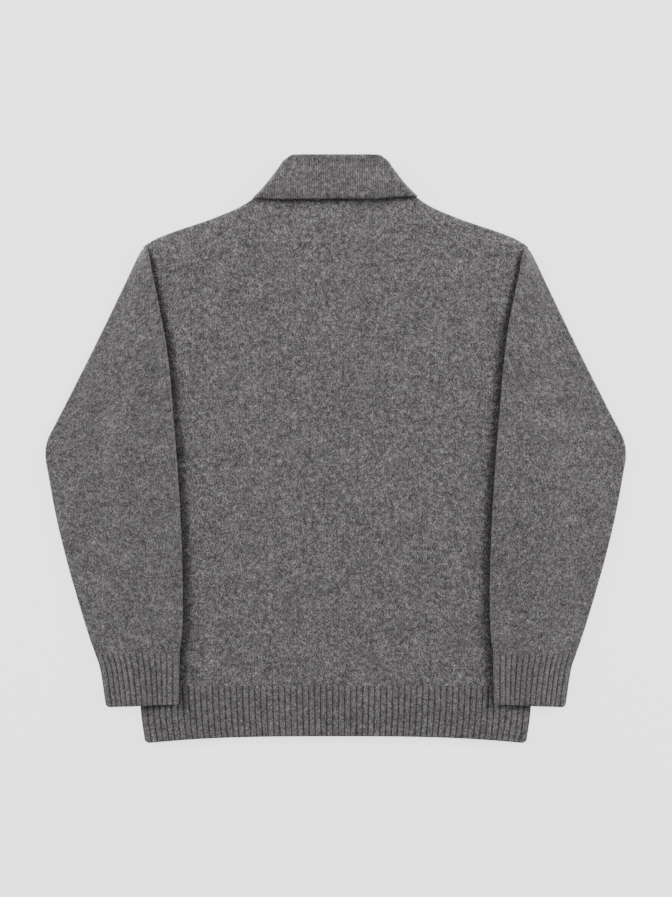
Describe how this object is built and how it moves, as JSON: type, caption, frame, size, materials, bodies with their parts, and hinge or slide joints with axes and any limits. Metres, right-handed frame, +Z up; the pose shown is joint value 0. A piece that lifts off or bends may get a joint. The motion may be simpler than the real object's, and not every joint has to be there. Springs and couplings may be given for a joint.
{
  "type": "polo sweater",
  "caption": "Long-sleeved knitted sweater with a turned-down collar and ribbed hem and cuffs, laid flat on its front with the sleeves folded down its sides.",
  "frame": {"origin": "middle of the sweater's width and of its whole length from collar to hem, on the surface it lies on", "axes": "+Z up, out of the surface and out of the sweater's back; +Y from the hem towards the collar; +X towards the wearer's right sleeve"},
  "size_m": [0.7424, 0.7533, 0.0125],
  "materials": {
    "knit": "heather grey lambswool jersey, slightly fulled",
    "rib": "heather grey lambswool rib",
    "collar_knit": "heather grey lambswool fine rib",
    "button": "dark grey satin"
  },
  "bodies": {
    "root": {"front_panel": "knit", "back_panel": "knit", "hem_rib": "rib", "sleeve_left": "knit", "sleeve_right": "knit", "cuff_left": "rib", "cuff_right": "rib", "collar": "collar_knit", "placket_upper_band": "rib", "placket_lower_band": "rib", "button_1": "button", "button_2": "button", "button_3": "button"}
  },
  "joints": []
}
